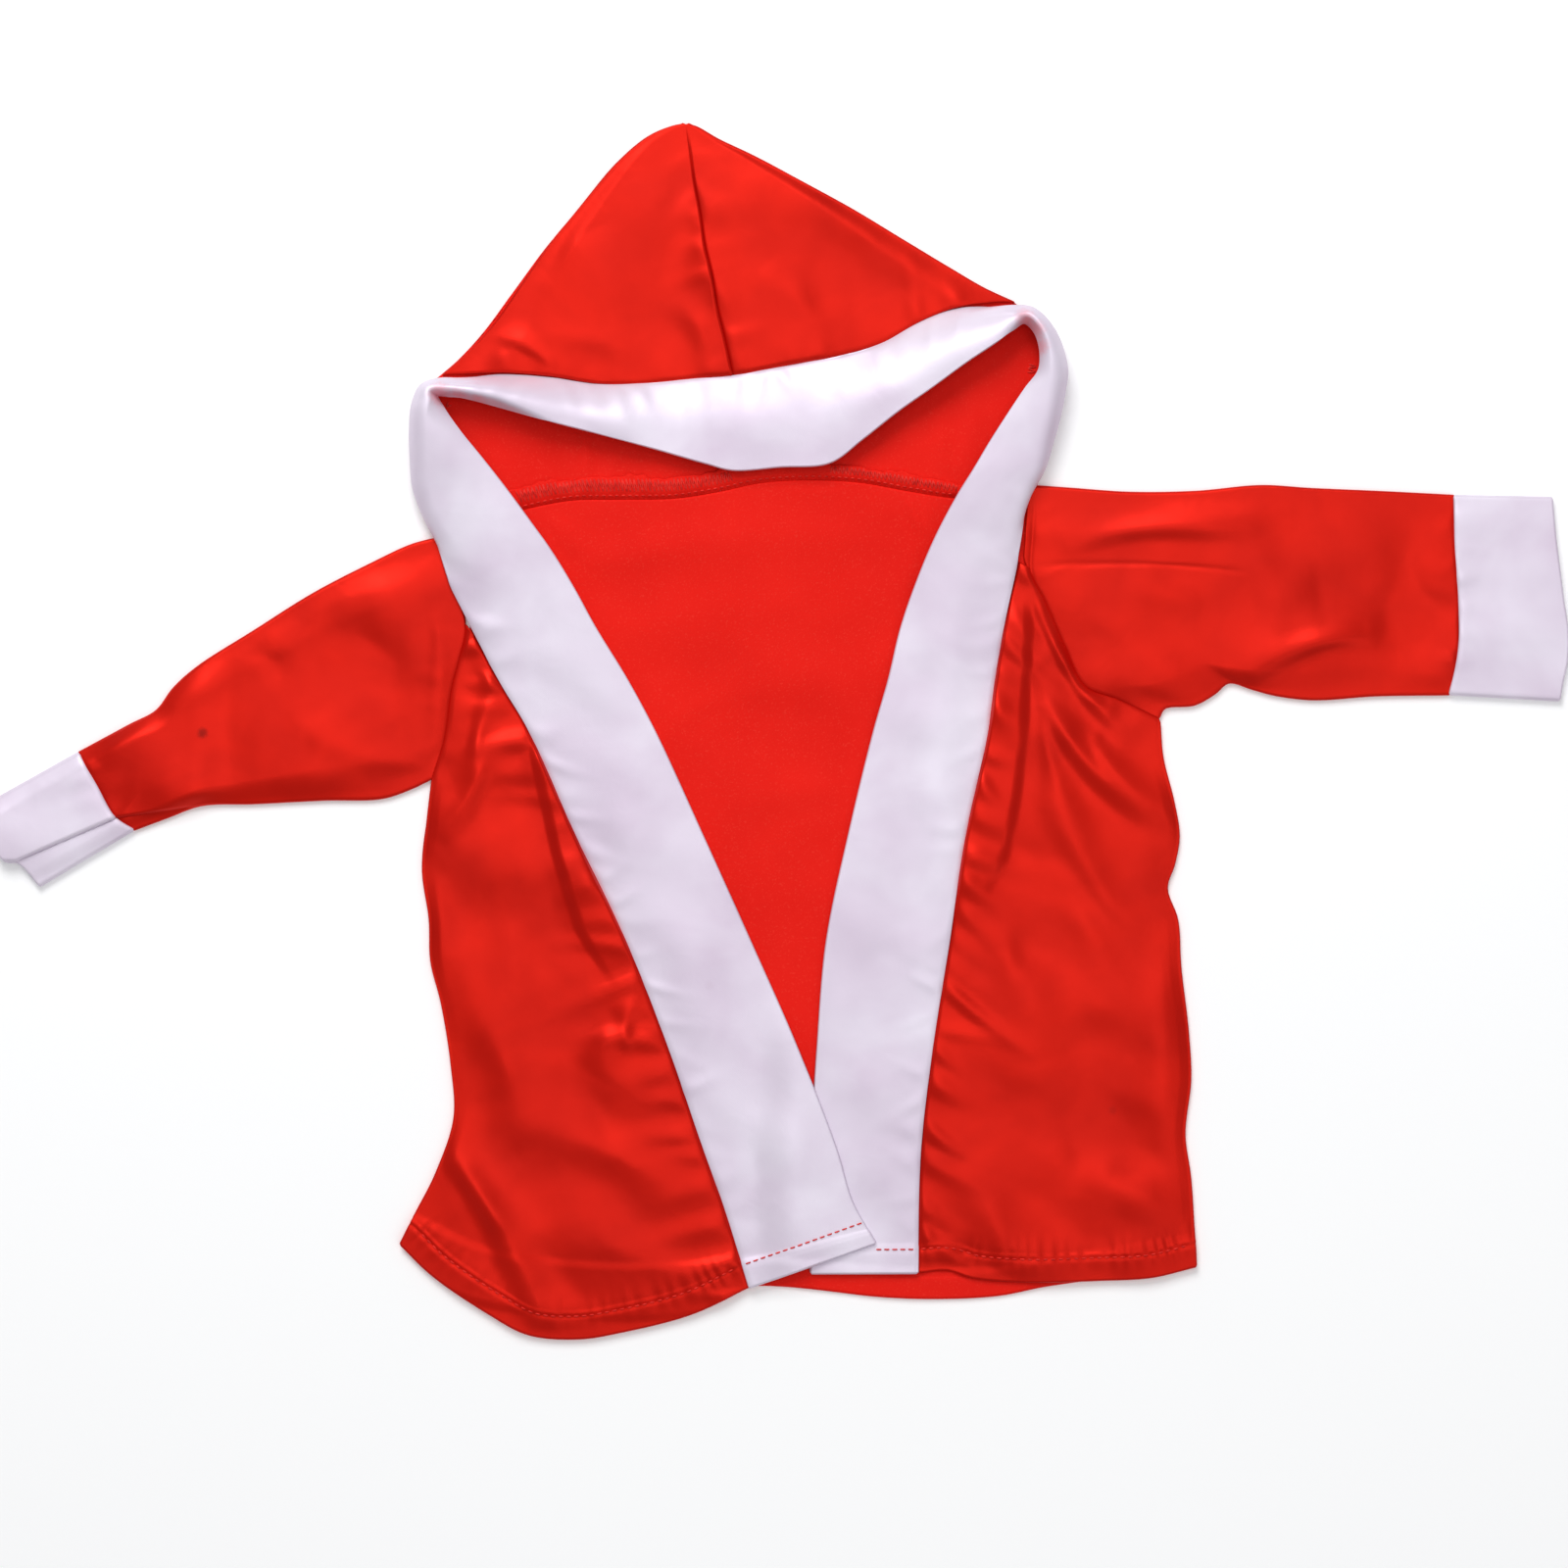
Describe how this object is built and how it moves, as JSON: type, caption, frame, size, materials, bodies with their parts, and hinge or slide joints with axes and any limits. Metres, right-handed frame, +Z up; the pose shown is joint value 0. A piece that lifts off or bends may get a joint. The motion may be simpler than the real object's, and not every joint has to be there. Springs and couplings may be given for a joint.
{
  "type": "hooded boxing robe",
  "caption": "Tiny hooded boxing robe in red satin with a white satin band and cuffs, laid flat with its front open and its hood laid back.",
  "frame": {"origin": "middle of the robe's outline in plan, on the surface that it lies on", "axes": "+X from the left cuff to the right cuff as seen from above, +Y up to the hood's point, +Z up from the surface"},
  "size_m": [0.6097, 0.4641, 0.0177],
  "materials": {
    "red_satin": "bright satin, right side",
    "red_satin_inside": "matt wrong side of the satin",
    "white_satin": "bright white satin, doubled"
  },
  "bodies": {
    "root": {"back": "red_satin_inside", "front_left": "red_satin", "front_right": "red_satin", "sleeve_left": "red_satin", "sleeve_right": "red_satin", "cuff_left": "white_satin", "cuff_right": "white_satin", "hood_left": "red_satin", "hood_right": "red_satin", "neck_allowance": "red_satin_inside", "band_left": "white_satin", "band_hood": "white_satin", "band_right": "white_satin"}
  },
  "joints": []
}
